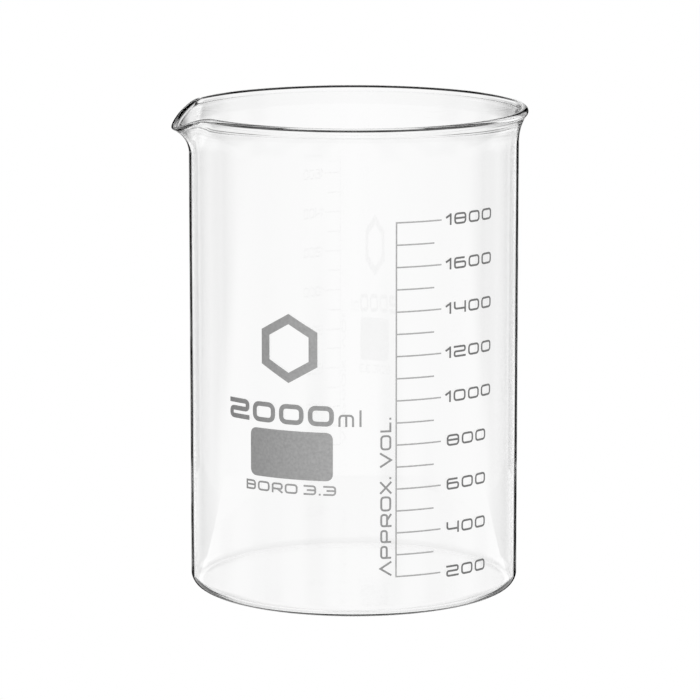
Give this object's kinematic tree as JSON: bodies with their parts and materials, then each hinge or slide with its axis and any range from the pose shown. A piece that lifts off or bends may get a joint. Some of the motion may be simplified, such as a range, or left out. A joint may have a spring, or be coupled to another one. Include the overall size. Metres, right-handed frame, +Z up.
{
  "type": "beaker",
  "caption": "Tall clear glass laboratory beaker with a flared rim, a pouring spout, a flat base and a grey printed volume scale.",
  "frame": {"origin": "on the beaker's axis, in the plane of the flat base that it stands on", "axes": "+Z up along the axis; -Y through the front, between the capacity mark and the scale; the spout points 6 degrees from -X towards -Y"},
  "size_m": [0.1372, 0.1344, 0.1873],
  "materials": {
    "capacity_enamel": "satin grey enamel, fired on",
    "caption_enamel": "satin grey enamel, fired on",
    "glass": "clear polished",
    "grade_enamel": "satin grey enamel, fired on",
    "scale_enamel": "satin grey enamel, fired on",
    "number_enamel": "satin grey enamel, fired on",
    "hexagon_enamel": "satin grey enamel, fired on",
    "patch_enamel": "satin grey enamel, fired on"
  },
  "bodies": {
    "root": {"capacity_digit_1": "capacity_enamel", "capacity_digit_2": "capacity_enamel", "capacity_digit_3": "capacity_enamel", "capacity_digit_4": "capacity_enamel", "capacity_unit_l": "capacity_enamel", "capacity_unit_m": "capacity_enamel", "caption_letter_01": "caption_enamel", "caption_letter_02": "caption_enamel", "caption_letter_03": "caption_enamel", "caption_letter_04": "caption_enamel", "caption_letter_05": "caption_enamel", "caption_letter_06": "caption_enamel", "caption_letter_07": "caption_enamel", "caption_letter_08": "caption_enamel", "caption_letter_09": "caption_enamel", "caption_letter_10": "caption_enamel", "caption_letter_11": "caption_enamel", "glass_body": "glass", "grade_letter_1": "grade_enamel", "grade_letter_2": "grade_enamel", "grade_letter_3": "grade_enamel", "grade_letter_4": "grade_enamel", "grade_letter_5": "grade_enamel", "grade_letter_6": "grade_enamel", "grade_letter_7": "grade_enamel", "graduation_scale": "scale_enamel", "number_1000_digit_1": "number_enamel", "number_1000_digit_2": "number_enamel", "number_1000_digit_3": "number_enamel", "number_1000_digit_4": "number_enamel", "number_1200_digit_1": "number_enamel", "number_1200_digit_2": "number_enamel", "number_1200_digit_3": "number_enamel", "number_1200_digit_4": "number_enamel", "number_1400_digit_1": "number_enamel", "number_1400_digit_2": "number_enamel", "number_1400_digit_3": "number_enamel", "number_1400_digit_4": "number_enamel", "number_1600_digit_1": "number_enamel", "number_1600_digit_2": "number_enamel", "number_1600_digit_3": "number_enamel", "number_1600_digit_4": "number_enamel", "number_1800_digit_1": "number_enamel", "number_1800_digit_2": "number_enamel", "number_1800_digit_3": "number_enamel", "number_1800_digit_4": "number_enamel", "number_200_digit_1": "number_enamel", "number_200_digit_2": "number_enamel", "number_200_digit_3": "number_enamel", "number_400_digit_1": "number_enamel", "number_400_digit_2": "number_enamel", "number_400_digit_3": "number_enamel", "number_600_digit_1": "number_enamel", "number_600_digit_2": "number_enamel", "number_600_digit_3": "number_enamel", "number_800_digit_1": "number_enamel", "number_800_digit_2": "number_enamel", "number_800_digit_3": "number_enamel", "plain_hexagon": "hexagon_enamel", "writing_patch": "patch_enamel"}
  },
  "joints": []
}
